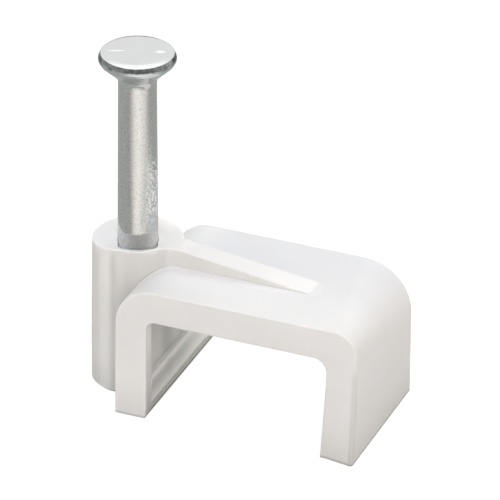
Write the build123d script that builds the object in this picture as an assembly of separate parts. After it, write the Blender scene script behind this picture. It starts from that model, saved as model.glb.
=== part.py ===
from build123d import *
import math
import os

# Nail-in cable clip: a one-piece moulded plastic saddle for a flat cable, and the steel nail that fixes it.
# Millimetres. The origin is where the nail's axis meets the wall. +X runs from the nail across the cable
# to the free leg, +Y runs along the cable, and +Z points away from the wall.

# Cable channel, open towards the wall and at both ends
channel_width = 9.4
channel_height = 5.4
clip_length = 7.6
end_face_draft = 1.0

# Walls round the channel
nail_leg_thickness = 1.65
free_leg_thickness = 1.55
bridge_thickness = 1.65

# Rounded corners of the saddle: the free corner grows from the front end to the rear end
nail_corner_radius = 2.0
free_corner_radius_front = 1.15
free_corner_radius_rear = 2.55
nail_corner_inner_radius = 0.45
free_corner_inner_radius = 0.7

# Free leg: its inner face leans in at the foot, where its front outer corner is rounder and splays forward
grip_depth = 0.22
grip_height = 4.0
foot_corner_radius = 0.2
top_corner_radius = 0.12
splay_depth = 0.24
splay_height = 3.0

# Inner face of the nail leg: a shallow pocket between two end lips, over a bar hollowed behind the front lip
lip_width = 0.72
pocket_depth = 0.27
bar_top_height = 2.05
bar_root_height = 0.54
bar_setback = 0.07
bar_hollow = 0.14

# Foot of the nail leg: a bevelled strip that runs on a little behind the saddle
foot_bevel_height = 0.5
foot_bevel_depth = 0.06
toe_length = 1.0

# Nail boss, rising beside the nail leg from the wall to above the bridge
nail_to_leg_face = 0.18
nail_to_front_face = 3.28
boss_radius = 2.25
boss_draft = 0.7
boss_centre_x = -0.07
boss_centre_y = 0.165
boss_rise = 0.95

# Front of the boss: a flat flank, rounder at its outer corner, that leaves a thin wall in front of the nail
flank_wall = 0.33
flank_angle = 9.5
flank_draft = 2.0
flank_corner_radius_foot = 1.85
flank_corner_radius_top = 1.1
flank_fillet_radius = 1.35

# Gusset rib that runs from the boss across the bridge and dies into it
rib_thickness = 1.25
rib_front_y = -0.28
rib_end = 9.6

# Nail hole, with a shallow notch in its top edge in front of the nail
nail_clearance = 0.02
notch_angle = 22.0
notch_wall = 0.2
notch_front_radius = 2.05
notch_depth = 0.2

# Nail, part driven as the clip is sold: its shank narrows a little from the boss to the head
nail_shank_diameter = 2.0
nail_neck_diameter = 1.88
nail_length = 18.0
nail_tip_height = 0.3
nail_point_length = 2.4
nail_point_diameter = 0.3

# Nail head: a flat top that falls away near its edge, a narrow band, and a conical underside
head_diameter = 3.79
head_top_diameter = 3.56
head_flat_diameter = 2.96
head_fall = 0.07
head_band_start = 0.3
head_band_width = 0.14
head_rim_width = 0.09
head_cone_start = 0.6
head_height = 1.4
head_neck_radius = 0.6

# Softened edges
edge_radius = 0.08
boss_edge_radius = 0.07
boss_foot_bevel = 0.16
head_edge_radius = 0.06
head_crown_radius = 1.2

# Sizes that follow from those above
clip_height = channel_height + bridge_thickness
leg_face_x = nail_to_leg_face
channel_left_x = leg_face_x + nail_leg_thickness
channel_right_x = channel_left_x + channel_width
free_face_x = channel_right_x + free_leg_thickness
front_y = -nail_to_front_face
rear_y = front_y + clip_length
boss_top_z = clip_height + boss_rise
bore_radius = nail_shank_diameter / 2 + nail_clearance
flank_radius = bore_radius + flank_wall
boss_span = 2 * (boss_radius + flank_radius)

# Steps of the boss's loft, how far a cutting shape runs past what it cuts, and the shares that pick out
# edges and faces
boss_steps = 4
overrun = 2.0
facing_up = 0.5
straight_across = 0.001


def end_face_lean(z):
    """How far an end face stands out at the height z, against its place at half the clip's height."""
    return (clip_height / 2 - z) * math.tan(math.radians(end_face_draft))


def arc_inset(radius):
    """How far the middle of a quarter arc lies from either side of the corner that it rounds."""
    return radius * (1 - math.cos(math.radians(45)))


def saddle_outline(y, free_radius):
    """Outer section of the saddle in the plane at y, closed along the wall."""
    low_left = (leg_face_x, y, 0)
    left = (leg_face_x, y, clip_height - nail_corner_radius)
    left_inset = arc_inset(nail_corner_radius)
    left_middle = (leg_face_x + left_inset, y, clip_height - left_inset)
    top_left = (leg_face_x + nail_corner_radius, y, clip_height)
    top_right = (free_face_x - free_radius, y, clip_height)
    right_inset = arc_inset(free_radius)
    right_middle = (free_face_x - right_inset, y, clip_height - right_inset)
    right = (free_face_x, y, clip_height - free_radius)
    low_right = (free_face_x, y, 0)
    wire = Wire([
        Line(low_left, left),
        ThreePointArc(left, left_middle, top_left),
        Line(top_left, top_right),
        ThreePointArc(top_right, right_middle, right),
        Line(right, low_right),
        Line(low_right, low_left),
    ])
    return Face(wire)


def saddle_block():
    """The saddle without its channel: lofted from front to rear, with drafted end faces."""
    reach = end_face_lean(0)
    slope = (free_corner_radius_rear - free_corner_radius_front) / clip_length
    front = saddle_outline(front_y - reach, free_corner_radius_front - slope * reach)
    rear = saddle_outline(rear_y + reach, free_corner_radius_rear + slope * reach)
    block = loft([front, rear], ruled=True)
    side = Polyline(
        (front_y - end_face_lean(0), 0),
        (rear_y + end_face_lean(0), 0),
        (rear_y + end_face_lean(clip_height), clip_height),
        (front_y - end_face_lean(clip_height), clip_height),
        close=True,
    )
    side_face = Plane.YZ * make_face(side)
    return block & extrude(Pos(leg_face_x, 0, 0) * side_face, free_face_x - leg_face_x)


def saddle():
    """The saddle with its channel and toe, softened along the edges of both end faces."""
    body = saddle_block() - channel()
    by_y = body.faces().sort_by(Axis.Y)
    rims = (by_y[0].edges() + by_y[-1].edges()).filter_by(lambda e: e.center().Z > edge_radius)
    body = fillet(rims, edge_radius) + loft([splay_outline(0), splay_outline(splay_height)], ruled=True)
    rounding = loft([corner_tool(0), corner_tool(splay_height), corner_tool(clip_height)], ruled=True)
    return body - rounding + (toe() - channel())


def splay(z):
    """How far the free leg's front outer corner stands forward at the height z."""
    return splay_depth * max(0, 1 - z / splay_height)


def splay_outline(z):
    """Section at z of what carries the free leg's front face forward to that corner."""
    flat_y = front_y - end_face_lean(z)
    start_x = channel_right_x + edge_radius
    return make_face(Polyline(
        (start_x, flat_y, z),
        (free_face_x, flat_y - splay(z), z),
        (free_face_x, flat_y + free_leg_thickness, z),
        (start_x, flat_y + free_leg_thickness, z),
        close=True,
    ))


def corner_tool(z):
    """Section at z of what rounds the free leg's front outer corner."""
    corner_y = front_y - end_face_lean(z) - splay(z)
    radius = foot_corner_radius + (top_corner_radius - foot_corner_radius) * z / clip_height
    inset = arc_inset(radius)
    outline = Wire([
        ThreePointArc(
            (free_face_x - radius, corner_y, z),
            (free_face_x - inset, corner_y + inset, z),
            (free_face_x, corner_y + radius, z)),
        Line((free_face_x, corner_y + radius, z), (free_face_x + overrun, corner_y + radius, z)),
        Line((free_face_x + overrun, corner_y + radius, z), (free_face_x + overrun, corner_y - overrun, z)),
        Line((free_face_x + overrun, corner_y - overrun, z), (free_face_x - radius, corner_y - overrun, z)),
        Line((free_face_x - radius, corner_y - overrun, z), (free_face_x - radius, corner_y, z)),
    ])
    return Face(outline)


def toe():
    """The strip of the nail leg's foot that runs on behind the saddle, with softened edges at its end."""
    strip = Pos(leg_face_x, 0, 0) * Box(
        nail_leg_thickness, rear_y + toe_length, foot_bevel_height, align=(Align.MIN, Align.MIN, Align.MIN))
    end = strip.faces().sort_by(Axis.Y)[-1]
    return fillet(end.edges().filter_by(lambda e: e.center().Z > 0), edge_radius)


def channel():
    """The cable's way through the saddle, with the lean of the free leg and the nail leg's foot bevel."""
    section = Polyline(
        (channel_left_x - foot_bevel_depth, 0),
        (channel_left_x, foot_bevel_height),
        (channel_left_x, channel_height),
        (channel_right_x, channel_height),
        (channel_right_x, grip_height),
        (channel_right_x - grip_depth, 0),
        (channel_right_x - grip_depth, -overrun),
        (channel_left_x - foot_bevel_depth, -overrun),
        close=True,
    )
    face = Plane.XZ * make_face(section)
    solid = extrude(face, clip_length, both=True)
    top_edges = solid.edges().filter_by(Axis.Y).group_by(Axis.Z)[-1].sort_by(Axis.X)
    solid = fillet(top_edges[0], nail_corner_inner_radius)
    top_edges = solid.edges().filter_by(Axis.Y).sort_by(lambda e: e.center().X + e.center().Z)
    return fillet(top_edges[-1], free_corner_inner_radius)


def pocket():
    """The shallow recess in the nail leg's inner face, above the bar and between the end lips."""
    length = clip_length - 2 * lip_width
    height = channel_height - bar_top_height
    block = Box(
        pocket_depth + overrun, length, height,
        align=(Align.MIN, Align.MIN, Align.MIN),
    )
    return Pos(channel_left_x - pocket_depth, front_y + lip_width, bar_top_height) * block


def bar_face():
    """What hollows the bar under the pocket, from the front lip's back to the rear end."""
    crest = (channel_left_x - bar_setback, 0, bar_top_height)
    root = (channel_left_x, 0, bar_root_height)
    middle = (
        channel_left_x - bar_setback / 2 - bar_hollow, 0, (bar_top_height + bar_root_height) / 2)
    low_far = (channel_left_x + overrun, 0, bar_root_height)
    high_far = (channel_left_x + overrun, 0, bar_top_height)
    section = Face(Wire([
        ThreePointArc(crest, middle, root),
        Line(root, low_far),
        Line(low_far, high_far),
        Line(high_far, crest),
    ]))
    start_y = front_y + lip_width
    return Pos(0, start_y, 0) * extrude(section, rear_y + overrun - start_y, dir=(0, 1, 0))


def widening(z, draft):
    """How far a drafted wall of the boss stands out at the height z, against its place at the top."""
    return (boss_top_z - z) * math.tan(math.radians(draft))


def boss_outline(z, inset):
    """Plan of the boss at z, drawn in by the inset: a disc cut flat in front, with a round corner."""
    disc = Pos(boss_centre_x, boss_centre_y, z) * Circle(boss_radius + widening(z, boss_draft) - inset)
    flank = flank_radius + widening(z, flank_draft) - inset
    kept = Rot(0, 0, flank_angle) * Pos(0, -flank, z) * Rectangle(
        boss_span, boss_span, align=(Align.CENTER, Align.MIN))
    plan = disc & kept
    growth = (flank_corner_radius_foot - flank_corner_radius_top) * (boss_top_z - z) / boss_top_z
    return fillet(plan.vertices().sort_by(Axis.X)[0], flank_corner_radius_top + growth - inset)


def rib_start(z):
    """Where the fillet from the nail's thin wall runs into the rib's front, at the height z."""
    reach = flank_radius + widening(z, flank_draft) + flank_fillet_radius
    drop = rib_front_y - flank_fillet_radius
    return math.sqrt(reach * reach - drop * drop)


def front_relief(z):
    """Plan at the height z of what is cleared in front of the nail's thin wall and the fillet to the rib."""
    lean = math.radians(flank_angle)
    wall_radius = flank_radius + widening(z, flank_draft)
    tangent = (wall_radius * math.sin(lean), -wall_radius * math.cos(lean), z)
    centre_x = rib_start(z)
    centre_y = rib_front_y - flank_fillet_radius
    share = wall_radius / (wall_radius + flank_fillet_radius)
    touch = (centre_x * share, centre_y * share, z)
    turn = (math.atan2(tangent[1], tangent[0]) + math.atan2(touch[1], touch[0])) / 2
    middle = (wall_radius * math.cos(turn), wall_radius * math.sin(turn), z)
    turn = (math.atan2(touch[1] - centre_y, touch[0] - centre_x) + math.pi / 2) / 2
    fillet_middle = (
        centre_x + flank_fillet_radius * math.cos(turn), centre_y + flank_fillet_radius * math.sin(turn), z)
    rib_touch = (centre_x, rib_front_y, z)
    far_x = centre_x + boss_radius
    outline = Wire([
        ThreePointArc(tangent, middle, touch),
        ThreePointArc(touch, fillet_middle, rib_touch),
        Line(rib_touch, (far_x, rib_front_y, z)),
        Line((far_x, rib_front_y, z), (far_x, -boss_span, z)),
        Line((far_x, -boss_span, z), (tangent[0], -boss_span, z)),
        Line((tangent[0], -boss_span, z), tangent),
    ])
    return Face(outline)


def boss_and_rib():
    """The nail boss and its gusset rib, with softened top edges and a bevelled foot."""
    step = (boss_top_z - boss_foot_bevel) / boss_steps
    outlines = [boss_outline(boss_foot_bevel + step * i, 0) for i in range(boss_steps + 1)]
    core = loft([boss_outline(0, boss_foot_bevel)] + outlines, ruled=True)
    crest_x = max(rib_start(boss_top_z), boss_centre_x + boss_radius) + edge_radius
    depth = flank_fillet_radius / 2
    web = Pos(0, rib_front_y - depth, 0) * Box(
        crest_x, depth + rib_thickness, boss_top_z, align=(Align.MIN, Align.MIN, Align.MIN))
    root_z = clip_height - bridge_thickness / 2
    rib_section = Polyline(
        (0, root_z),
        (0, boss_top_z),
        (crest_x, boss_top_z),
        (rib_end, clip_height),
        (rib_end, root_z),
        close=True,
    )
    rib = Pos(0, rib_front_y + rib_thickness, 0) * extrude(Plane.XZ * make_face(rib_section), rib_thickness)
    relief = loft([front_relief(0), front_relief(boss_top_z)], ruled=True)
    both = core + (web + rib) - relief
    upward = both.faces().filter_by(lambda f: f.normal_at(f.center()).Z > facing_up)
    rims = [e for f in upward for e in f.edges() if not crosses_rib(e)]
    return fillet(rims, boss_edge_radius)


def crosses_rib(edge):
    """Whether an edge runs straight across the rib, as its crest and its far end do."""
    return edge.geom_type == GeomType.LINE and abs((edge @ 1 - edge @ 0).X) < straight_across


def nail_hole():
    """The hole for the nail, with the notch in front of it."""
    bore = Pos(0, 0, -overrun) * Cylinder(
        bore_radius, boss_top_z + 2 * overrun, align=(Align.CENTER, Align.CENTER, Align.MIN))
    reach = flank_radius - notch_wall
    width = nail_shank_diameter - 2 * nail_clearance
    plan = Rectangle(width, reach, align=(Align.CENTER, Align.MAX))
    plan = plan & Pos(0, notch_front_radius - reach) * Circle(notch_front_radius)
    notch = Pos(0, 0, boss_top_z - notch_depth) * extrude(plan, notch_depth + overrun)
    return bore + Rot(0, 0, notch_angle) * notch


def clip_body():
    """The moulded clip in one piece."""
    body = saddle() + (boss_and_rib() - channel())
    return body - pocket() - bar_face() - nail_hole()


def round_corner(outline, corner, radius):
    """The outline with its corner nearest to the point rounded."""
    return fillet(outline.vertices().sort_by_distance(corner)[0], radius)


def nail():
    """The steel nail: head, shank and a tapered point, turned from one outline."""
    top = nail_tip_height + nail_length
    shank_radius = nail_shank_diameter / 2
    neck_radius = nail_neck_diameter / 2
    head_radius = head_diameter / 2
    point_radius = nail_point_diameter / 2
    outline = make_face(Polyline(
        (0, nail_tip_height),
        (point_radius, nail_tip_height),
        (shank_radius, nail_tip_height + nail_point_length),
        (shank_radius, boss_top_z),
        (neck_radius, top - head_height),
        (head_radius - head_rim_width, top - head_cone_start),
        (head_radius, top - head_band_start - head_band_width),
        (head_radius, top - head_band_start),
        (head_top_diameter / 2, top - head_fall),
        (head_flat_diameter / 2, top),
        (0, top),
        close=True,
    ))
    neck = (neck_radius, top - head_height)
    lower_rim = (head_radius - head_rim_width, top - head_cone_start)
    top_rim = (head_top_diameter / 2, top - head_fall)
    crown = (head_flat_diameter / 2, top)
    outline = round_corner(outline, neck, head_neck_radius)
    outline = round_corner(outline, lower_rim, head_edge_radius)
    outline = round_corner(outline, top_rim, head_edge_radius)
    outline = round_corner(outline, crown, head_crown_radius)
    return revolve(Plane.XZ * outline, Axis.Z)


os.makedirs("parts", exist_ok=True)
export_step(clip_body(), "parts/clip_body.step")
export_step(nail(), "parts/nail.step")
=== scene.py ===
"""Looks of a nail-in cable clip: a moulded white saddle for a flat cable, and the plated nail that fixes it.

Metres, in the part's own frame: the origin is where the nail's axis meets the wall, +X runs from the nail
across the cable to the free leg, +Y along the cable and +Z away from the wall.
"""

from __future__ import annotations

import logging
import math
from dataclasses import dataclass
from enum import Enum

import bpy
from mathutils import Matrix, Vector


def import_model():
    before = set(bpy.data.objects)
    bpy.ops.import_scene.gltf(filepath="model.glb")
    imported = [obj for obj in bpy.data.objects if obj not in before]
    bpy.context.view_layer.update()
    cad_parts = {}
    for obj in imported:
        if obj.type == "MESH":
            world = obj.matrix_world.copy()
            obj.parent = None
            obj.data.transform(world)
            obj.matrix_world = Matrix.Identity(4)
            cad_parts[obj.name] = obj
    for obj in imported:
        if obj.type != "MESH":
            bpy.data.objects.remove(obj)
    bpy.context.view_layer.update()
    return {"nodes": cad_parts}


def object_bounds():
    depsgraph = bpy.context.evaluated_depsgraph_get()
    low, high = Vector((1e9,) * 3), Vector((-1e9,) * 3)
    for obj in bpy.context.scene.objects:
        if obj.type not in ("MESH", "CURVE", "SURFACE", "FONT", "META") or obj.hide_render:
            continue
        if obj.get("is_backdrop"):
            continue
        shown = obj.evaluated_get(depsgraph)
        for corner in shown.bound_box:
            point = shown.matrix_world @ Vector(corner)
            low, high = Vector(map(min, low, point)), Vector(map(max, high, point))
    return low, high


MM = 0.001
LOG = logging.getLogger("cable_clip")

Socket = bpy.types.NodeSocket
Colour = tuple[float, float, float]
Point = tuple[float, float, float]
Heading = tuple[float, float]
Tones = tuple[tuple[float, float], ...]
Stops = tuple[tuple[float, Colour], ...]

WHITE: Colour = (1.0, 1.0, 1.0)

# Level directions fixed on the clip: rightwards in the photograph's view, and away from its camera. They are
# the cosine and sine of PhotoCamera's azimuth, so what follows them was made for that view
SIDEWAYS: Heading = (0.926, 0.377)
REARWARD: Heading = (-0.377, 0.926)

# Turns the sum of two level distances into the distance along the diagonal between them
DIAGONAL = math.sqrt(0.5)


class MixKind(Enum):
    """How two colours are mixed."""

    BLEND = "MIX"
    MULTIPLY = "MULTIPLY"


class Operation(Enum):
    """What is worked out from two values."""

    ADD = "ADD"
    SUBTRACT = "SUBTRACT"
    MULTIPLY = "MULTIPLY"
    MAXIMUM = "MAXIMUM"


@dataclass(frozen=True)
class Fade:
    """The values between which something grows from nothing to its full share."""

    start: float
    full: float


@dataclass(frozen=True)
class Spot:
    """Where on an object the shader is, as sockets."""

    vector: Socket
    x: Socket
    y: Socket
    z: Socket


def rgba(colour: Colour) -> tuple[float, float, float, float]:
    """The colour with full opacity."""
    return (*colour, 1.0)


def tinted(tones: Tones, tint: Colour, unit: float) -> Stops:
    """Tones as coloured stops.

    Args:
        tones: the place, in units, and the brightness of each tone.
        tint: the colour that the brightness scales.
        unit: the length that a place of 1 stands for.

    Returns:
        The stops.
    """
    return tuple((place * unit, tuple(part * tone for part in tint)) for place, tone in tones)


class ShaderGraph:
    """A node tree that is built one node at a time."""

    # Numbers of the colour sockets on a Mix node
    MIX_FACTOR, MIX_FIRST, MIX_SECOND, MIX_RESULT = 0, 6, 7, 2
    OCCLUSION_SAMPLES = 8

    def __init__(self, tree: bpy.types.NodeTree) -> None:
        """Starts from an empty tree.

        Args:
            tree: the node tree of a material or a world.
        """
        self.tree = tree
        tree.nodes.clear()

    def add(self, kind: str, inputs: dict[str | int, object] | None = None,
            **settings: object) -> bpy.types.Node:
        """Adds a node.

        Args:
            kind: the node's type name.
            inputs: a value, or the socket of another node, for each named or numbered input.
            settings: properties of the node itself.

        Returns:
            The new node.
        """
        node = self.tree.nodes.new(kind)
        for name, value in settings.items():
            setattr(node, name, value)
        for name, value in (inputs or {}).items():
            self.feed(node, name, value)
        return node

    def feed(self, node: bpy.types.Node, name: str | int, value: object) -> None:
        """Links a socket to an input, or sets the input to a constant.

        Args:
            node: the node whose input is fed.
            name: the input's name or number.
            value: a socket or a constant.
        """
        if isinstance(value, Socket):
            self.tree.links.new(value, node.inputs[name])
        else:
            node.inputs[name].default_value = value

    def finish(self, kind: str, surface: bpy.types.Node) -> None:
        """Feeds a shader to the tree's output.

        Args:
            kind: the output node's type name.
            surface: the shader's node.
        """
        self.feed(self.add(kind), "Surface", surface.outputs[0])

    def place(self, scale: Point = (1.0, 1.0, 1.0)) -> Socket:
        """The object's own coordinates, scaled along each axis.

        Args:
            scale: the factor along X, Y and Z.

        Returns:
            The vector socket.
        """
        coordinates = self.add("ShaderNodeTexCoord")
        mapping = self.add("ShaderNodeMapping", {"Vector": coordinates.outputs["Object"], "Scale": scale})
        return mapping.outputs["Vector"]

    def split(self, vector: Socket) -> tuple[Socket, ...]:
        """The X, Y and Z of a vector."""
        node = self.add("ShaderNodeSeparateXYZ", {"Vector": vector})
        return tuple(node.outputs[name] for name in "XYZ")

    def spot(self) -> Spot:
        """The object's own coordinates, together and one by one."""
        vector = self.place()
        return Spot(vector, *self.split(vector))

    def from_axis(self, spot: Spot) -> Socket:
        """How far a spot is from the nail's axis.

        Args:
            spot: where the shader is.

        Returns:
            The distance's socket.
        """
        plan = self.add("ShaderNodeVectorMath", {0: spot.vector, 1: (1.0, 1.0, 0.0)}, operation="MULTIPLY")
        reach = self.add("ShaderNodeVectorMath", {0: plan.outputs["Vector"]}, operation="LENGTH")
        return reach.outputs["Value"]

    def towards(self, spot: Spot, heading: Heading) -> Socket:
        """How far a spot lies from the nail's axis in a level direction.

        Args:
            spot: where the shader is.
            heading: the direction's X and Y.

        Returns:
            The distance's socket.
        """
        along_x = self.maths(Operation.MULTIPLY, spot.x, heading[0])
        along_y = self.maths(Operation.MULTIPLY, spot.y, heading[1])
        return self.maths(Operation.ADD, along_x, along_y)

    def noise(self, vector: Socket, scale: float, detail: float) -> Socket:
        """Soft noise from 0 to 1.

        Args:
            vector: where it is read.
            scale: its cells in each unit of length.
            detail: its octaves.

        Returns:
            The value socket.
        """
        node = self.add("ShaderNodeTexNoise", {"Vector": vector, "Scale": scale, "Detail": detail})
        return node.outputs["Fac"]

    def openness(self, reach: float, inside: bool = False) -> Socket:
        """How open a spot is, from 0 in a deep hollow to 1 on a flat face.

        Args:
            reach: how far off a surface still counts.
            inside: whether the solid side is looked at, which finds edges in place of hollows.

        Returns:
            The share's socket.
        """
        node = self.add("ShaderNodeAmbientOcclusion", {"Distance": reach},
                        samples=self.OCCLUSION_SAMPLES, inside=inside)
        return node.outputs["AO"]

    def ramp(self, value: Socket, low: float, high: float,
             to_low: float = 0.0, to_high: float = 1.0) -> Socket:
        """Maps a value from one range to another, smoothly and without overshoot.

        Args:
            value: the value to map.
            low: what maps to to_low.
            high: what maps to to_high.
            to_low: the result at low.
            to_high: the result at high.

        Returns:
            The mapped value's socket.
        """
        node = self.add("ShaderNodeMapRange", {
            "Value": value, "From Min": low, "From Max": high, "To Min": to_low, "To Max": to_high,
        }, interpolation_type="SMOOTHSTEP")
        return node.outputs["Result"]

    def fade(self, value: Socket, span: Fade, most: float = 1.0, least: float = 0.0) -> Socket:
        """A share that grows smoothly as a value passes along a span.

        Args:
            value: the value to follow.
            span: where the share starts to grow and where it is full.
            most: the full share.
            least: the share at the start.

        Returns:
            The share's socket.
        """
        return self.ramp(value, span.start, span.full, least, most)

    def mix(self, factor: object, first: object, second: object, kind: MixKind = MixKind.BLEND,
            clamp: bool = True) -> Socket:
        """Mixes two colours.

        Args:
            factor: the second colour's share.
            first: a colour or a socket.
            second: a colour or a socket.
            kind: how they are mixed.
            clamp: whether the result is kept at 1 or less.

        Returns:
            The mixed colour's socket.
        """
        node = self.add("ShaderNodeMix", data_type="RGBA", blend_type=kind.value, clamp_result=clamp)
        self.feed(node, self.MIX_FACTOR, factor)
        self.feed(node, self.MIX_FIRST, first)
        self.feed(node, self.MIX_SECOND, second)
        return node.outputs[self.MIX_RESULT]

    def follow(self, value: Socket, stops: Stops) -> Socket:
        """A colour that follows a value from stop to stop.

        Args:
            value: the value to follow.
            stops: the value and the colour of each stop, in rising order.

        Returns:
            The colour's socket.
        """
        low, high = stops[0][0], stops[-1][0]
        share = self.add("ShaderNodeMapRange", {"Value": value, "From Min": low, "From Max": high})
        node = self.add("ShaderNodeValToRGB", {"Fac": share.outputs["Result"]})
        elements = node.color_ramp.elements
        elements.remove(elements[1])
        elements[0].position = 0.0
        elements[0].color = rgba(stops[0][1])
        for place, colour in stops[1:]:
            elements.new((place - low) / (high - low)).color = rgba(colour)
        return node.outputs["Color"]

    def shade(self, colour: Socket, value: Socket, tones: Tones,
              share: object = 1.0) -> Socket:
        """Darkens or lightens a colour by tones that follow a length.

        Args:
            colour: the colour.
            value: the length to follow.
            tones: the millimetres and the brightness of each tone, in rising order.
            share: how far the tones apply.

        Returns:
            The shaded colour's socket.
        """
        return self.mix(share, colour, self.follow(value, tinted(tones, WHITE, MM)), MixKind.MULTIPLY)

    def maths(self, operation: Operation, first: object, second: object = 0.0) -> Socket:
        """Works out one value from two.

        Args:
            operation: what is worked out.
            first: a value or a socket.
            second: a value or a socket.

        Returns:
            The result's socket.
        """
        node = self.add("ShaderNodeMath", {0: first, 1: second}, operation=operation.value)
        return node.outputs[0]

    def product(self, *values: object) -> Socket:
        """The product of two or more values or sockets."""
        result = values[0]
        for value in values[1:]:
            result = self.maths(Operation.MULTIPLY, result, value)
        return result

    def rest(self, share: Socket) -> Socket:
        """What a share leaves of 1."""
        return self.maths(Operation.SUBTRACT, 1.0, share)

    def seen_by(self, path: bpy.types.Node, *kinds: str) -> Socket:
        """Whether a ray is of one of several kinds.

        Args:
            path: the Light Path node.
            kinds: the names of its outputs.

        Returns:
            The socket of 1 for such a ray and 0 for any other.
        """
        result = path.outputs[kinds[0]]
        for kind in kinds[1:]:
            result = self.maths(Operation.MAXIMUM, result, path.outputs[kind])
        return result

    def bump(self, height: Socket, depth: float,
             under: Socket | None = None) -> Socket:
        """Relief from a height between 0 and 1.

        Args:
            height: the height.
            depth: the real depth that a height of 1 stands for.
            under: the normal that the relief lies on.

        Returns:
            The bumped normal's socket.
        """
        node = self.add("ShaderNodeBump", {"Height": height, "Distance": depth, "Strength": 1.0})
        if under is not None:
            self.feed(node, "Normal", under)
        return node.outputs["Normal"]


def new_material(name: str) -> tuple[bpy.types.Material, ShaderGraph]:
    """A new material and its empty graph.

    Args:
        name: the material's name.

    Returns:
        The material and the graph.
    """
    material = bpy.data.materials.new(name)
    material.use_nodes = True
    return material, ShaderGraph(material.node_tree)


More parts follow.
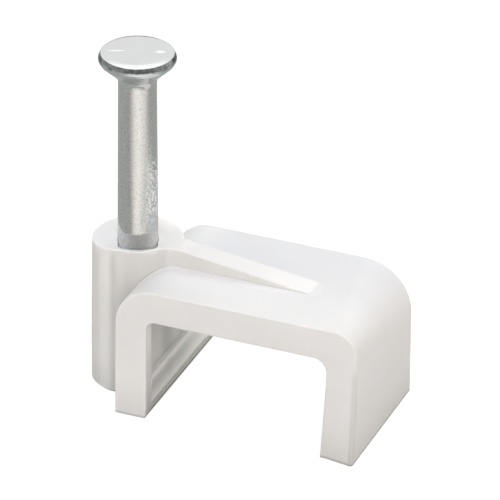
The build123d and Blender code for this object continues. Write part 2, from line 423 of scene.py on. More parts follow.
@dataclass(frozen=True)
class MouldedPlastic:
    """Smooth natural white polymer, slightly translucent, with the faint waviness of a moulding.

    Light and shade are painted into the colour by place: painted shade in hollows, painted light in folds,
    painted highlights on some edges, partly for light scattered inside the moulding, and painted light and
    shade on the boss, the legs, the rib and the top. The places of tones are in millimetres. They were set by
    the photograph's levels, so the colour also holds some light and shade of that view, under any other light
    too.
    """

    colour: Colour = (0.79, 0.788, 0.785)
    deep_colour: Colour = (0.775, 0.772, 0.767)
    roughness: tuple[float, float] = (0.38, 0.47)
    refraction: float = 1.5
    gloss: float = 0.3
    scatter: float = 0.3
    scatter_depth: float = 0.4 * MM
    scatter_radius: Colour = (1.0, 0.9, 0.75)
    wave_scale: float = 420.0
    wave_depth: float = 0.006 * MM
    grain_scale: float = 9000.0
    grain_depth: float = 0.0012 * MM
    noise_span: Fade = Fade(0.3, 0.7)

    # Painted shade in hollows, lighter on faces that look up, most of all below the boss's top
    hollow_reach: float = 2.2 * MM
    painted_hollow_shade: Colour = (0.6, 0.598, 0.585)
    hollow_light: Colour = (0.85, 0.848, 0.845)
    upward: Fade = Fade(0.2, 0.6)
    upward_below: Fade = Fade(7.6 * MM, 7.3 * MM)
    upward_above: float = 0.3

    # Painted light in the folds between two faces, against their shade
    fold_reach: float = 0.55 * MM
    painted_fold_light: Colour = (0.98, 0.975, 0.965)
    fold_depth: Fade = Fade(0.97, 0.55)
    fold_share: float = 0.08
    fold_share_up: float = 0.87

    # Painted highlights on the edges of the boss and the nail leg, and painted shade on the edges beyond them
    edge_reach: float = 0.2 * MM
    painted_edge_highlight: Colour = (0.9, 0.895, 0.89)
    painted_edge_shade: Colour = (0.62, 0.615, 0.61)
    edge_depth: Fade = Fade(1.0, 0.4)
    edge_share: float = 0.35
    edge_beyond: Fade = Fade(1.9 * MM, 2.5 * MM)

    # The boss's thin wall, darker where the nail shows through it, which is partly painted shade on its
    # flank, and painted light on the walls of its hole just below its top, against the shade there
    core_and_shade_colour: Colour = (0.62, 0.612, 0.595)
    core_wall: Fade = Fade(1.5 * MM, 1.82 * MM)
    core_top: Fade = Fade(7.9 * MM, 7.96 * MM)
    core_height: Fade = Fade(5.0 * MM, 7.9 * MM)
    core_fade: float = 0.5
    painted_hole_light: Colour = (1.0, 0.99, 0.97)
    hole_wall: Fade = Fade(1.3 * MM, 1.1 * MM)
    hole_below: Fade = Fade(7.99 * MM, 7.95 * MM)

    # Painted bands of light and shade on the boss's front half, from side to side in the photograph's view
    painted_boss_light_and_shade: Tones = (
        (-2.3, 0.98), (-1.97, 0.92), (-1.8, 1.0), (-1.5, 1.03), (-1.38, 0.97), (-1.24, 0.885), (-1.12, 0.95),
        (-1.0, 1.04), (-0.8, 1.06), (-0.5, 1.0),
    )
    boss_below: Fade = Fade(7.9 * MM, 7.5 * MM)
    boss_beside: Fade = Fade(0.2 * MM, 0.0)
    boss_before: Fade = Fade(0.4 * MM, -0.2 * MM)

    # Painted light and shade on the nail leg's inner face, from the foot up: its bar, with painted highlights
    # on its edges, painted shade at its foot and painted light at its rear end, and its front lip, painted
    # darker downwards. Both lists began as measured ratios of the photograph to a render, and were thinned
    # and changed
    bar_tint: Colour = (0.985, 1.005, 0.985)
    painted_bar_light_and_shade: Tones = (
        (0.0, 0.5), (0.1, 0.54), (0.25, 0.83), (0.52, 0.78), (0.6, 1.12), (1.1, 0.82), (1.35, 0.87),
        (1.8, 1.62), (1.87, 1.5), (1.97, 0.88), (2.4, 0.97),
    )
    painted_lip_light_and_shade: Tones = ((0.0, 0.78), (1.1, 0.95), (3.2, 1.12), (4.6, 1.4), (5.4, 1.46))
    lip_before: Fade = Fade(-2.58 * MM, -2.7 * MM)
    bar_light: Colour = (1.25, 1.25, 1.2)
    bar_light_share: float = 0.5
    bar_light_behind: Fade = Fade(1.2 * MM, 3.6 * MM)
    bar_light_above: Fade = Fade(0.55 * MM, 0.7 * MM)
    inner_from: Fade = Fade(1.45 * MM, 1.51 * MM)
    inner_to: Fade = Fade(2.0 * MM, 1.9 * MM)
    inner_behind: Fade = Fade(-3.18 * MM, -3.12 * MM)
    inner_below: Fade = Fade(5.37 * MM, 5.31 * MM)

    # Painted shade on the free leg's rounded front edge, which splays at the foot, and low on its outer face
    painted_corner_shade: Tones = ((11.15, 1.0), (11.21, 0.94), (11.25, 0.85), (11.4, 0.84))
    corner_below: Fade = Fade(6.0 * MM, 4.4 * MM)
    corner_splay: float = 0.17 * MM
    splay_height: float = 3.0 * MM
    painted_outer_shade: Tones = ((0.0, 0.95), (2.5, 0.95), (4.5, 1.0))
    outer_from: Fade = Fade(12.5 * MM, 12.7 * MM)

    # Painted light on the nail leg's front face and on the bridge's rounded corner behind the boss, against
    # its shade
    painted_front_light: Tones = ((0.0, 1.055), (2.0, 1.05), (4.0, 1.015), (5.5, 1.01))
    front_before: Fade = Fade(-3.22 * MM, -3.28 * MM)
    front_to: Fade = Fade(2.4 * MM, 2.0 * MM)
    painted_shelter_light: Colour = (1.13, 1.13, 1.13)
    shelter_behind: Fade = Fade(1.0 * MM, 2.2 * MM)
    shelter_above: Fade = Fade(5.0 * MM, 5.8 * MM)
    shelter_to: Fade = Fade(1.8 * MM, 0.8 * MM)

    # Painted shade along the edge that stands on the wall, painted light along the rib's top, and cool
    # painted shade on the bridge's top behind the rib
    painted_foot_shade: Tones = ((0.0, 0.66), (0.06, 0.74), (0.16, 1.0))
    painted_rib_light: Tones = ((3.0, 0.97), (6.0, 1.0), (9.0, 1.09), (9.7, 1.1))
    rib_above: Fade = Fade(7.09 * MM, 7.12 * MM)
    rib_from: Fade = Fade(2.4 * MM, 3.0 * MM)
    painted_rear_shade: Colour = (0.94, 0.945, 0.965)
    rear_behind: Fade = Fade(-2.8 * MM, 3.2 * MM)
    rear_above: Fade = Fade(5.4 * MM, 6.9 * MM)
    rear_below: Fade = Fade(7.3 * MM, 7.2 * MM)
    rear_from: Fade = Fade(2.0 * MM, 4.0 * MM)

    def build(self) -> bpy.types.Material:
        """The plastic's material."""
        material, graph = new_material("white_plastic")
        spot = graph.spot()
        waves = graph.noise(spot.vector, self.wave_scale, detail=2.0)
        grain = graph.noise(spot.vector, self.grain_scale, detail=3.0)
        colour = graph.mix(graph.fade(waves, self.noise_span), rgba(self.colour), rgba(self.deep_colour))
        # Darker where the nail shows through the boss's wall, partly painted shade on its flank
        colour = graph.mix(self.clear_share(graph, spot), rgba(self.core_and_shade_colour), colour)
        colour = self.tone_hollows(graph, spot, colour)
        colour = self.tone_edges(graph, spot, colour)
        colour = self.tone_inner_face(graph, spot, colour)
        colour = self.tone_boss(graph, spot, colour)
        colour = self.tone_free_leg(graph, spot, colour)
        colour = self.tone_nail_side(graph, spot, colour)
        # Painted shade along the edge that stands on the wall
        colour = graph.shade(colour, spot.z, self.painted_foot_shade)
        colour = self.tone_top(graph, spot, colour)
        # Painted light on the walls of the hole round the nail, against their shade
        hole = graph.product(graph.fade(graph.from_axis(spot), self.hole_wall),
                             graph.fade(spot.z, self.hole_below))
        colour = graph.mix(hole, colour, rgba(self.painted_hole_light))
        smooth, rough = self.roughness
        surface = graph.add("ShaderNodeBsdfPrincipled", {
            "Base Color": colour,
            "Roughness": graph.fade(grain, self.noise_span, rough, smooth),
            "IOR": self.refraction,
            "Specular IOR Level": self.gloss,
            "Normal": graph.bump(grain, self.grain_depth, graph.bump(waves, self.wave_depth)),
            "Subsurface Weight": self.scatter,
            "Subsurface Radius": self.scatter_radius,
            "Subsurface Scale": self.scatter_depth,
        })
        graph.finish("ShaderNodeOutputMaterial", surface)
        return material

    def clear_share(self, graph: ShaderGraph, spot: Spot) -> Socket:
        """How far a spot is from where the steel nail shows through the boss's thin wall, partly painted
        shade.

        Args:
            graph: the material's nodes.
            spot: where the shader is.

        Returns:
            The share's socket: 0 right beside the nail, 1 where the plastic looks clear.
        """
        aside = graph.fade(graph.from_axis(spot), self.core_wall)
        above = graph.fade(spot.z, self.core_top)
        fade = graph.fade(spot.z, self.core_height, self.core_fade)
        return graph.maths(Operation.MAXIMUM, graph.maths(Operation.MAXIMUM, aside, fade), above)

    def tone_hollows(self, graph: ShaderGraph, spot: Spot, colour: Socket) -> Socket:
        """Paints shade into hollows, lighter on faces that look up, and paints light into the folds in them.

        Args:
            graph: the material's nodes.
            spot: where the shader is.
            colour: the plastic's colour.

        Returns:
            The toned colour's socket.
        """
        normal = graph.add("ShaderNodeNewGeometry").outputs["True Normal"]
        upward = graph.product(graph.fade(graph.split(normal)[2], self.upward),
                               graph.fade(spot.z, self.upward_below, least=self.upward_above))
        hollow = graph.mix(upward, rgba(self.painted_hollow_shade), rgba(self.hollow_light))
        colour = graph.mix(graph.openness(self.hollow_reach), hollow, colour)
        deep = graph.fade(graph.openness(self.fold_reach), self.fold_depth)
        lift = graph.maths(Operation.ADD, self.fold_share, graph.product(upward, self.fold_share_up))
        return graph.mix(graph.product(deep, lift), colour, rgba(self.painted_fold_light))

    def tone_edges(self, graph: ShaderGraph, spot: Spot, colour: Socket) -> Socket:
        """Paints highlights on the edges of the boss and the nail leg, and a little shade on the others.

        Args:
            graph: the material's nodes.
            spot: where the shader is.
            colour: the plastic's colour.

        Returns:
            The toned colour's socket.
        """
        edge = graph.fade(graph.openness(self.edge_reach, inside=True), self.edge_depth, self.edge_share)
        tone = graph.mix(graph.fade(spot.x, self.edge_beyond), rgba(self.painted_edge_highlight), rgba(self.painted_edge_shade))
        return graph.mix(edge, colour, tone)

    def tone_inner_face(self, graph: ShaderGraph, spot: Spot, colour: Socket) -> Socket:
        """Paints light and shade on the nail leg's inner face: highlights on its bar, shade at its foot, and
        its lip.

        Args:
            graph: the material's nodes.
            spot: where the shader is.
            colour: the plastic's colour.

        Returns:
            The shaded colour's socket.
        """
        bar = graph.follow(spot.z, tinted(self.painted_bar_light_and_shade, self.bar_tint, MM))
        light = graph.product(graph.fade(spot.y, self.bar_light_behind, self.bar_light_share),
                              graph.fade(spot.z, self.bar_light_above))
        bar = graph.mix(light, bar, rgba(self.bar_light), clamp=False)
        lip = graph.follow(spot.z, tinted(self.painted_lip_light_and_shade, WHITE, MM))
        tone = graph.mix(graph.fade(spot.y, self.lip_before), bar, lip, clamp=False)
        share = graph.product(graph.fade(spot.y, self.inner_behind), graph.fade(spot.x, self.inner_from),
                              graph.fade(spot.x, self.inner_to), graph.fade(spot.z, self.inner_below))
        return graph.mix(share, colour, tone, MixKind.MULTIPLY)

    def tone_boss(self, graph: ShaderGraph, spot: Spot, colour: Socket) -> Socket:
        """Paints bands of light and shade on the boss's front half from side to side.

        Args:
            graph: the material's nodes.
            spot: where the shader is.
            colour: the plastic's colour.

        Returns:
            The shaded colour's socket.
        """
        share = graph.product(graph.fade(spot.z, self.boss_below), graph.fade(spot.x, self.boss_beside),
                              graph.fade(graph.towards(spot, REARWARD), self.boss_before))
        return graph.shade(colour, graph.towards(spot, SIDEWAYS), self.painted_boss_light_and_shade, share)

    def tone_free_leg(self, graph: ShaderGraph, spot: Spot, colour: Socket) -> Socket:
        """Paints shade on the free leg's rounded front edge and low on its outer face.

        Args:
            graph: the material's nodes.
            spot: where the shader is.
            colour: the plastic's colour.

        Returns:
            The shaded colour's socket.
        """
        below = graph.maths(Operation.SUBTRACT, self.splay_height, spot.z)
        below = graph.maths(Operation.MAXIMUM, below, 0.0)
        splay = graph.product(below, self.corner_splay / self.splay_height)
        outward = graph.product(graph.maths(Operation.SUBTRACT, spot.x, spot.y), DIAGONAL)
        corner = graph.maths(Operation.SUBTRACT, outward, splay)
        colour = graph.shade(colour, corner, self.painted_corner_shade, graph.fade(spot.z, self.corner_below))
        return graph.shade(colour, spot.z, self.painted_outer_shade, graph.fade(spot.x, self.outer_from))

    def tone_nail_side(self, graph: ShaderGraph, spot: Spot, colour: Socket) -> Socket:
        """Paints light on the nail leg's front face and on the bridge's corner behind the boss, against its
        shade.

        Args:
            graph: the material's nodes.
            spot: where the shader is.
            colour: the plastic's colour.

        Returns:
            The toned colour's socket.
        """
        front = graph.product(graph.fade(spot.y, self.front_before), graph.fade(spot.x, self.front_to))
        colour = graph.shade(colour, spot.z, self.painted_front_light, front)
        shelter = graph.product(graph.fade(spot.y, self.shelter_behind),
                                graph.fade(spot.z, self.shelter_above), graph.fade(spot.x, self.shelter_to))
        return graph.mix(shelter, colour, rgba(self.painted_shelter_light), MixKind.MULTIPLY)

    def tone_top(self, graph: ShaderGraph, spot: Spot, colour: Socket) -> Socket:
        """Paints light along the rib's top, and cool shade on the bridge's top towards the rear.

        Args:
            graph: the material's nodes.
            spot: where the shader is.
            colour: the plastic's colour.

        Returns:
            The shaded colour's socket.
        """
        on_rib = graph.product(graph.fade(spot.z, self.rib_above), graph.fade(spot.x, self.rib_from))
        colour = graph.shade(colour, spot.x, self.painted_rib_light, on_rib)
        rear = graph.product(graph.fade(spot.y, self.rear_behind), graph.fade(spot.z, self.rear_above),
                             graph.rest(on_rib), graph.fade(spot.x, self.rear_from),
                             graph.fade(spot.z, self.rear_below))
        return graph.mix(rear, colour, rgba(self.painted_rear_shade), MixKind.MULTIPLY)


@dataclass(frozen=True)
class Glint:
    """A short painted glint, a lamp's reflection, on the nail's head."""

    centre: Point
    half_length: float
    half_width: float


@dataclass(frozen=True)
class ZincPlating:
    """Bright zinc on drawn wire: faint streaks, frosted scuffs on one side, and a painted reflection near the
    boss.
    """

    bright: Colour = (0.77, 0.757, 0.72)
    worn: Colour = (0.72, 0.715, 0.69)
    roughness: float = 0.2
    streak_scale: float = 5200.0
    streak_stretch: Point = (1.0, 1.0, 0.12)
    streak_span: Fade = Fade(0.35, 0.65)
    speck_scale: float = 12000.0
    speck_depth: float = 0.002 * MM
    pit: Colour = (0.42, 0.42, 0.4)
    pit_scale: float = 9000.0
    pit_span: Fade = Fade(0.68, 0.74)
    pit_share: float = 0.8
    speckle: Colour = (0.56, 0.56, 0.54)
    speckle_scale: float = 15000.0
    speckle_span: Fade = Fade(0.42, 0.62)
    speckle_share: float = 0.6

    # Frosted scuffs on the shank's right side, which thicken towards the boss and darken near it
    frost: Colour = (0.77, 0.79, 0.81)
    frost_dark: Colour = (0.44, 0.46, 0.48)
    frost_low: Colour = (0.46, 0.48, 0.5)
    frost_low_below: Fade = Fade(9.8 * MM, 9.1 * MM)
    frost_low_share: float = 0.7
    frost_metal: float = 0.35
    frost_roughness: float = 0.6
    frost_depth: float = 0.012 * MM
    frost_scale: float = 9000.0
    frost_span: Fade = Fade(0.42, 0.58)
    scuff_scale: float = 4500.0
    frost_side: Fade = Fade(0.32 * MM, 0.5 * MM)
    frost_growth: Fade = Fade(13.6 * MM, 10.2 * MM)
    frost_growth_share: float = 0.35
    frost_below: Fade = Fade(14.6 * MM, 13.6 * MM)
    frost_broken: Fade = Fade(0.6, 0.75)

    # A dull zone round the shank's foot, from side to side in the photograph's view and from the boss up, in
    # which the boss's reflection is painted, with painted light at the very foot against the shade of the
    # hole. Its colours began as the photograph's levels on one line across the shank, scaled by ratios and
    # thinned
    painted_reflection_stops: Stops = (
        (-1.0 * MM, (0.7, 0.72, 0.77)), (-0.64 * MM, (0.51, 0.53, 0.56)), (-0.34 * MM, (0.35, 0.365, 0.375)),
        (0.0, (0.285, 0.295, 0.29)), (0.45 * MM, (0.35, 0.36, 0.355)), (0.62 * MM, (0.47, 0.48, 0.475)),
        (1.0 * MM, (0.63, 0.645, 0.655)),
    )
    painted_nail_foot_light: Tones = ((7.66, 1.7), (7.8, 1.45), (7.95, 1.15), (8.15, 1.04), (8.4, 1.0))
    film_dark: Colour = (0.22, 0.23, 0.23)
    film_dark_share: float = 0.35
    film_span: Fade = Fade(0.42, 0.62)
    film_roughness: float = 0.5
    film_below: Fade = Fade(8.83 * MM, 8.73 * MM)
    film_lean: float = -0.06
    film_ragged: float = 0.1 * MM
    film_scale: float = 2600.0

    # Head, with a mottled rim and two painted glints, reflections of lamps, where the photograph has them
    head: Colour = (0.7, 0.71, 0.705)
    head_from: Fade = Fade(16.9 * MM, 17.3 * MM)
    smear: Colour = (0.712, 0.73, 0.735)
    smear_scale: float = 900.0
    smear_span: Fade = Fade(0.42, 0.66)
    rim_dark: Colour = (0.38, 0.41, 0.41)
    rim_scale: float = 2300.0
    rim_span: Fade = Fade(0.42, 0.6)
    rim_above: Fade = Fade(17.9 * MM, 17.95 * MM)
    rim_below: Fade = Fade(18.23 * MM, 18.2 * MM)
    glint: Colour = WHITE
    glint_edge: Fade = Fade(1.0, 0.5)
    glints: tuple[Glint, ...] = (
        Glint((-0.93 * MM, -0.38 * MM, 18.3 * MM), 0.52 * MM, 0.08 * MM),
        Glint((1.06 * MM, 0.34 * MM, 18.3 * MM), 0.3 * MM, 0.16 * MM),
    )

    def build(self) -> bpy.types.Material:
        """The plating's material."""
        material, graph = new_material("plated_steel")
        spot = graph.spot()
        specks = graph.noise(spot.vector, self.speck_scale, detail=3.0)
        cells = graph.noise(spot.vector, self.frost_scale, detail=4.0)
        frost = self.frost_share(graph, spot)
        # Where the boss's reflection is painted in a dull colour and the zinc is not metallic
        film = self.painted_reflection_share(graph, spot)
        colour = graph.mix(frost, self.shank_colour(graph, spot), self.frost_colour(graph, spot, cells))
        colour = self.tone_head(graph, spot, colour)
        colour = graph.mix(film, colour, self.painted_reflection_colour(graph, spot, cells))
        rough = graph.mix(frost, rgba((self.roughness,) * 3), rgba((self.frost_roughness,) * 3))
        rough = graph.mix(film, rough, rgba((self.film_roughness,) * 3))
        relief = graph.bump(specks, self.speck_depth)
        relief = graph.bump(graph.product(cells, frost), self.frost_depth, relief)
        metal = graph.rest(graph.product(frost, 1.0 - self.frost_metal))
        surface = graph.add("ShaderNodeBsdfPrincipled", {
            "Base Color": colour,
            "Metallic": graph.product(graph.rest(film), metal),
            "Roughness": rough,
            "Normal": relief,
        })
        graph.finish("ShaderNodeOutputMaterial", surface)
        return material

    def shank_colour(self, graph: ShaderGraph, spot: Spot) -> Socket:
        """The plain plating: bright, with worn streaks, pits and speckles.

        Args:
            graph: the material's nodes.
            spot: where the shader is.

        Returns:
            The colour's socket.
        """
        streaks = graph.noise(graph.place(self.streak_stretch), self.streak_scale, detail=3.0)
        colour = graph.mix(graph.fade(streaks, self.streak_span), rgba(self.bright), rgba(self.worn))
        pits = graph.fade(graph.noise(spot.vector, self.pit_scale, detail=1.0), self.pit_span)
        colour = graph.mix(graph.product(pits, self.pit_share), colour, rgba(self.pit))
        speckles = graph.noise(spot.vector, self.speckle_scale, detail=2.0)
        speckles = graph.fade(speckles, self.speckle_span, self.speckle_share)
        return graph.mix(speckles, colour, rgba(self.speckle))

    def frost_colour(self, graph: ShaderGraph, spot: Spot, cells: Socket) -> Socket:
        """The frosted scuffs' colour, darker near the boss.

        Args:
            graph: the material's nodes.
            spot: where the shader is.
            cells: the noise that the scuffs follow.

        Returns:
            The colour's socket.
        """
        frosted = graph.mix(graph.fade(cells, self.frost_span), rgba(self.frost_dark), rgba(self.frost))
        low = graph.fade(spot.z, self.frost_low_below, self.frost_low_share)
        return graph.mix(low, frosted, rgba(self.frost_low))

    def frost_share(self, graph: ShaderGraph, spot: Spot) -> Socket:
        """How frosted the shank is: scuffs on its right side that thicken towards the boss.

        Args:
            graph: the material's nodes.
            spot: where the shader is.

        Returns:
            The share's socket.
        """
        side = graph.fade(graph.towards(spot, SIDEWAYS), self.frost_side)
        growth = graph.product(graph.fade(spot.z, self.frost_growth), self.frost_growth_share)
        scuffs = graph.noise(spot.vector, self.scuff_scale, detail=3.0)
        broken = graph.fade(graph.maths(Operation.ADD, scuffs, growth), self.frost_broken)
        return graph.product(side, graph.fade(spot.z, self.frost_below), broken)

    def painted_reflection_colour(self, graph: ShaderGraph, spot: Spot, cells: Socket) -> Socket:
        """The painted reflection's colour, from side to side and up from the boss, with darker flecks.

        Args:
            graph: the material's nodes.
            spot: where the shader is.
            cells: the noise that the flecks follow.

        Returns:
            The colour's socket.
        """
        colour = graph.follow(graph.towards(spot, SIDEWAYS), self.painted_reflection_stops)
        colour = graph.shade(colour, spot.z, self.painted_nail_foot_light)
        flecks = graph.fade(cells, self.film_span, self.film_dark_share)
        return graph.mix(flecks, colour, rgba(self.film_dark))

    def painted_reflection_share(self, graph: ShaderGraph, spot: Spot) -> Socket:
        """How far the painted reflection at the shank's foot covers it, up to a leaning, ragged line.

        Args:
            graph: the material's nodes.
            spot: where the shader is.

        Returns:
            The share's socket.
        """
        lean = graph.product(spot.x, self.film_lean)
        ragged = graph.product(graph.noise(spot.vector, self.film_scale, detail=2.0), self.film_ragged)
        level = graph.maths(Operation.ADD, graph.maths(Operation.ADD, spot.z, lean), ragged)
        return graph.fade(level, self.film_below)

    def tone_head(self, graph: ShaderGraph, spot: Spot, colour: Socket) -> Socket:
        """Gives the head its own colour, smears, mottled rim and two painted glints.

        Args:
            graph: the material's nodes.
            spot: where the shader is.
            colour: the shank's colour.

        Returns:
            The nail's colour socket.
        """
        smears = graph.fade(graph.noise(spot.vector, self.smear_scale, detail=3.0), self.smear_span)
        head = graph.mix(smears, rgba(self.head), rgba(self.smear))
        colour = graph.mix(graph.fade(spot.z, self.head_from), colour, head)
        rim = graph.product(graph.fade(spot.z, self.rim_above), graph.fade(spot.z, self.rim_below))
        mottles = graph.fade(graph.noise(spot.vector, self.rim_scale, detail=4.0), self.rim_span)
        colour = graph.mix(graph.product(rim, mottles), colour, rgba(self.rim_dark))
        for glint in self.glints:
            colour = graph.mix(self.glint_share(graph, spot, glint), colour, rgba(self.glint))
        return colour

    def glint_share(self, graph: ShaderGraph, spot: Spot, glint: Glint) -> Socket:
        """Where a painted glint lies.

        Args:
            graph: the material's nodes.
            spot: where the shader is.
            glint: the mark.

        Returns:
            The share's socket.
        """
        local = graph.add("ShaderNodeMapping", {
            "Vector": spot.vector,
            "Location": glint.centre,
            "Rotation": (0.0, 0.0, math.atan2(SIDEWAYS[1], SIDEWAYS[0])),
            "Scale": (glint.half_length, glint.half_width, MM),
        }, vector_type="TEXTURE")
        reach = graph.add("ShaderNodeVectorMath", {0: local.outputs["Vector"]}, operation="LENGTH")
        return graph.fade(reach.outputs["Value"], self.glint_edge)


@dataclass(frozen=True)
class PaleFloor:
    """Plain pale surface: white to the camera, with a soft shadow, and grey where metal mirrors it."""

    bounce: Colour = (0.6, 0.6, 0.6)
    shadow: Colour = (0.12, 0.12, 0.12)
    glow: float = 0.94
    mirrored: Colour = (0.44, 0.466, 0.46)

    def build(self) -> bpy.types.Material:
        """The floor's material."""
        material, graph = new_material("pale_floor")
        path = graph.add("ShaderNodeLightPath")
        plain = graph.add("ShaderNodeBsdfDiffuse", {"Color": rgba(self.bounce)})
        mirror = graph.add("ShaderNodeEmission", {"Color": rgba(self.mirrored), "Strength": 1.0})
        shaded = graph.add("ShaderNodeBsdfDiffuse", {"Color": rgba(self.shadow)})
        light = graph.add("ShaderNodeEmission", {"Color": rgba(WHITE), "Strength": self.glow})
        white = graph.add("ShaderNodeAddShader", {0: shaded.outputs[0], 1: light.outputs[0]})
        seen = graph.seen_by(path, "Is Camera Ray", "Is Transmission Ray")
        unlit = graph.add("ShaderNodeMixShader", {
            0: path.outputs["Is Glossy Ray"], 1: plain.outputs[0], 2: mirror.outputs[0],
        })
        choice = graph.add("ShaderNodeMixShader", {0: seen, 1: unlit.outputs[0], 2: white.outputs[0]})
        graph.finish("ShaderNodeOutputMaterial", choice)
        return material


def dress(part: bpy.types.Object, material: bpy.types.Material) -> None:
    """Gives every material slot of an object one material.

    Args:
        part: the object.
        material: its new material.
    """
    if not part.material_slots:
        part.data.materials.append(material)
    for slot in part.material_slots:
        slot.material = material


@dataclass
class ClipBody:
    """The moulded clip, whose shape is the CAD's own."""

    part: bpy.types.Object
    finish: MouldedPlastic = MouldedPlastic()

    def dress(self) -> None:
        """Gives the clip its plastic."""
        dress(self.part, self.finish.build())


@dataclass
class Nail:
    """The plated nail, whose shape is the CAD's own."""

    part: bpy.types.Object
    finish: ZincPlating = ZincPlating()

    def dress(self) -> None:
        """Gives the nail its plating."""
        dress(self.part, self.finish.build())


def direction(azimuth: float, elevation: float) -> Vector:
    """Unit vector from the object towards a viewer.

    Args:
        azimuth: degrees, 0 where the viewer looks along +Y and 90 where they look along -X.
        elevation: degrees above the horizon.

    Returns:
        The vector.
    """
    turn, rise = math.radians(azimuth), math.radians(elevation)
    return Vector((math.sin(turn) * math.cos(rise), -math.cos(turn) * math.cos(rise), math.sin(rise)))


def link_new(name: str, data: bpy.types.ID) -> bpy.types.Object:
    """A new object in the scene.

    Args:
        name: its name.
        data: its mesh, light or camera.

    Returns:
        The object.
    """
    item = bpy.data.objects.new(name, data)
    bpy.context.scene.collection.objects.link(item)
    return item


@dataclass
class Lamp:
    """A soft square lamp aimed at the clip."""

    name: str
    azimuth: float
    elevation: float
    power: float
    colour: Colour
    distance: float = 0.4
    side: float = 0.3

    def build(self, target: Vector) -> bpy.types.Object:
        """Places the lamp round a point.

        Args:
            target: the point that it is aimed at.

        Returns:
            The lamp.
        """
        data = bpy.data.lights.new(self.name, "AREA")
        data.shape = "SQUARE"
        data.size = self.side
        data.energy = self.power
        data.color = self.colour
        lamp = link_new(self.name, data)
        away = direction(self.azimuth, self.elevation)
        lamp.location = target + away * self.distance
        lamp.visible_glossy = False
        lamp.rotation_mode = "QUATERNION"
        lamp.rotation_quaternion = (-away).to_track_quat("-Z", "Y")
        return lamp


@dataclass(frozen=True)
class CardRow:
    """One edge of a card: an arc round the nail's axis."""

    distance: float
    height: float
    start: float
    end: float


@dataclass
class MirrorCard:
    """A curved card round the nail that only mirror-like rays see, at its own brightness."""

    name: str
    rows: tuple[CardRow, ...]
    brightness: float
    grades: Tones = ((0.0, 1.0), (1.0, 1.0))
    tint: Colour = WHITE
    steps: int = 48

    def build(self, floor: float) -> bpy.types.Object:
        """Places the card.

        Args:
            floor: the floor's height, from which the rows' heights are counted.

        Returns:
            The card.
        """
        card = link_new(self.name, self.make_mesh(floor))
        card.visible_camera = False
        card.visible_diffuse = False
        card.visible_transmission = False
        card.visible_shadow = False
        dress(card, self.make_light())
        card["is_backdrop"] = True
        return card

    def make_mesh(self, floor: float) -> bpy.types.Mesh:
        """The card's faces between its rows, with the share of the arc as their only map.

        Args:
            floor: the floor's height.

        Returns:
            The mesh.
        """
        corners = []
        for row in self.rows:
            for i in range(self.steps + 1):
                outward = direction(row.start + (row.end - row.start) * i / self.steps, 0.0)
                corners.append(tuple(outward * row.distance + Vector((0.0, 0.0, floor + row.height))))
        width = self.steps + 1
        faces = [(row * width + i, row * width + i + 1, (row + 1) * width + i + 1, (row + 1) * width + i)
                 for row in range(len(self.rows) - 1) for i in range(self.steps)]
        mesh = bpy.data.meshes.new(self.name)
        mesh.from_pydata(corners, [], faces)
        arc = mesh.uv_layers.new(name="arc")
        for loop in mesh.loops:
            arc.data[loop.index].uv = (loop.vertex_index % width / self.steps, 0.0)
        return mesh

    def make_light(self) -> bpy.types.Material:
        """The card's own light, graded along the arc."""
        material, graph = new_material(self.name)
        along = graph.split(graph.add("ShaderNodeTexCoord").outputs["UV"])[0]
        grade = graph.follow(along, tinted(self.grades, self.tint, 1.0))
        graph.finish("ShaderNodeOutputMaterial",
                     graph.add("ShaderNodeEmission", {"Color": grade, "Strength": self.brightness}))
        return material


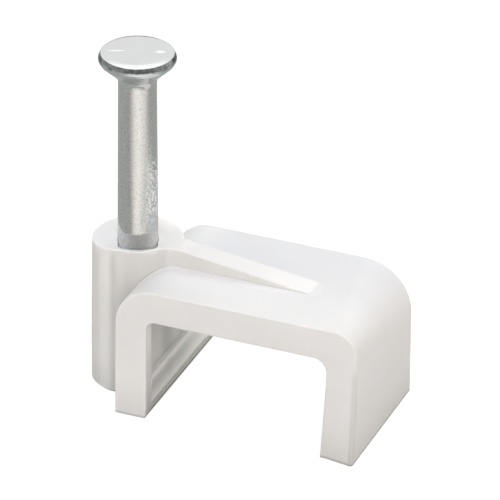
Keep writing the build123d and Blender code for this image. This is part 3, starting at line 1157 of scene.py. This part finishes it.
@dataclass
class Studio:
    """Pale floor, even sky, soft lamps, and the cards that the nail mirrors.

    A least-squares program worked out the sky's colour and the lamps' powers and colours, from renders under
    each light alone and the photograph's mean colours on patches of the plastic. The bright card's grades
    began as the photograph's levels on one line across the shank, put where each is mirrored, and thinned.
    """

    floor_side: float = 1.2
    floor_drop: float = 0.002 * MM
    sky: Colour = (0.242, 0.235, 0.159)
    lamps: tuple[Lamp, ...] = (
        Lamp("high_rear_lamp", 200.0, 60.0, 0.831, (0.993, 0.979, 1.0)),
        Lamp("high_left_lamp", -90.0, 55.0, 0.225, (0.601, 0.728, 1.0)),
        Lamp("high_front_lamp", 10.0, 55.0, 0.416, (0.488, 0.687, 1.0)),
        Lamp("front_lamp", 10.0, 25.0, 0.357, (1.0, 0.927, 0.953)),
        Lamp("front_left_lamp", -50.0, 25.0, 0.322, (1.0, 0.791, 0.65)),
        Lamp("front_right_lamp", 60.0, 25.0, 0.319, (1.0, 0.783, 0.784)),
        Lamp("right_lamp", 110.0, 20.0, 0.499, (1.0, 0.978, 0.987)),
        Lamp("low_front_lamp", 20.0, 6.0, 0.305, (1.0, 0.967, 0.766)),
    )
    cards: tuple[MirrorCard, ...] = (
        MirrorCard("bright_card", (
            CardRow(14.5 * MM, 0.0, -22.0, 36.0),
            CardRow(20.0 * MM, 0.0, -24.0, 66.0),
            CardRow(24.0 * MM, 0.0, -34.0, 88.0),
            CardRow(32.0 * MM, 0.0, -38.0, 93.0),
            CardRow(70.0 * MM, 0.0, -38.0, 93.0),
        ), 1.21, (
            (0.0, 0.37), (0.06, 0.34), (0.16, 0.5), (0.31, 0.81), (0.5, 1.0), (0.66, 0.87), (0.76, 0.82),
            (0.9, 0.6), (1.0, 0.39),
        ), (1.0, 0.98, 0.965)),
        MirrorCard("dark_ring", (
            CardRow(71.0 * MM, 0.0, 0.0, 360.0),
            CardRow(500.0 * MM, 0.0, 0.0, 360.0),
        ), 0.18),
        MirrorCard("dark_wall", (
            CardRow(300.0 * MM, 0.0, -100.0, 144.0),
            CardRow(300.0 * MM, 230.0 * MM, -100.0, 144.0),
        ), 0.5, (
            (0.0, 1.0), (0.16, 0.68), (0.29, 0.46), (0.5, 0.42), (0.7, 0.45), (0.86, 0.7), (1.0, 1.0),
        )),
        MirrorCard("rear_wall", (
            CardRow(300.0 * MM, 0.0, 144.0, 260.0),
            CardRow(300.0 * MM, 40.0 * MM, 144.0, 260.0),
        ), 0.12),
        MirrorCard("overhead", (
            CardRow(0.01 * MM, 320.0 * MM, 0.0, 360.0),
            CardRow(330.0 * MM, 320.0 * MM, 0.0, 360.0),
        ), 1.4),
    )

    def build(self) -> None:
        """Makes the floor, the world, the lamps and the cards."""
        lowest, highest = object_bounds()
        self.make_floor(lowest.z - self.floor_drop)
        self.make_world()
        for lamp in self.lamps:
            lamp.build((lowest + highest) / 2)
        for card in self.cards:
            card.build(lowest.z)

    def make_floor(self, height: float) -> None:
        """Lays the floor.

        Args:
            height: where it lies.
        """
        half = self.floor_side / 2
        corners = [(-half, -half, height), (half, -half, height), (half, half, height), (-half, half, height)]
        mesh = bpy.data.meshes.new("floor")
        mesh.from_pydata(corners, [], [(0, 1, 2, 3)])
        floor = link_new("floor", mesh)
        dress(floor, PaleFloor().build())
        floor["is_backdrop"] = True

    def make_world(self) -> None:
        """Lights the scene evenly, and shows white where the floor ends."""
        world = bpy.data.worlds.new("sky")
        bpy.context.scene.world = world
        world.use_nodes = True
        graph = ShaderGraph(world.node_tree)
        path = graph.add("ShaderNodeLightPath")
        seen = graph.seen_by(path, "Is Camera Ray", "Is Glossy Ray", "Is Transmission Ray")
        even = graph.add("ShaderNodeBackground", {"Color": rgba(self.sky), "Strength": 1.0})
        white = graph.add("ShaderNodeBackground", {"Color": rgba(WHITE), "Strength": 1.0})
        choice = graph.add("ShaderNodeMixShader", {0: seen, 1: even.outputs[0], 2: white.outputs[0]})
        graph.finish("ShaderNodeOutputWorld", choice)


@dataclass
class PhotoCamera:
    """The camera that took the photograph, found from the clip's own edges."""

    azimuth: float = 22.12
    elevation: float = 29.21
    roll: float = 0.536
    distance: float = 245.9 * MM
    across: float = 6.627 * MM
    above: float = 7.929 * MM
    corner: tuple[float, float] = (0.18 * MM, -3.28 * MM)
    focal_length: float = 360.0
    sensor_width: float = 36.0
    clip_ratio: float = 10.0

    def build(self) -> bpy.types.Object:
        """Makes it the scene's camera.

        Returns:
            The camera.
        """
        data = bpy.data.cameras.new("photo_camera")
        data.lens = self.focal_length
        data.sensor_width = self.sensor_width
        data.clip_start = self.distance / self.clip_ratio
        data.clip_end = self.distance * self.clip_ratio
        camera = link_new("photo_camera", data)
        back = direction(self.azimuth, self.elevation)
        turn = math.radians(self.azimuth)
        level = Vector((math.cos(turn), math.sin(turn), 0.0))
        turned = Matrix.Rotation(math.radians(self.roll), 3, back) @ level
        upward = back.cross(turned)
        place = turned * self.across + upward * self.above + back * self.distance
        facing = Matrix((turned, upward, back)).transposed().to_4x4()
        origin = Vector((*self.corner, 0.0))
        camera.matrix_world = Matrix.Translation(origin + place) @ facing
        bpy.context.scene.camera = camera
        return camera


def main() -> None:
    """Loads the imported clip, dresses each piece and sets the stage round it."""
    logging.basicConfig(level=logging.INFO, format="%(name)s: %(message)s")
    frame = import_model()
    nodes = frame["nodes"]
    for piece in (ClipBody(nodes["clip_body"]), Nail(nodes["nail"])):
        piece.dress()
        LOG.info("dressed %s", piece.part.name)
    Studio().build()
    PhotoCamera().build()
    bpy.context.scene.view_settings.view_transform = "Standard"


if __name__ == "__main__":
    main()
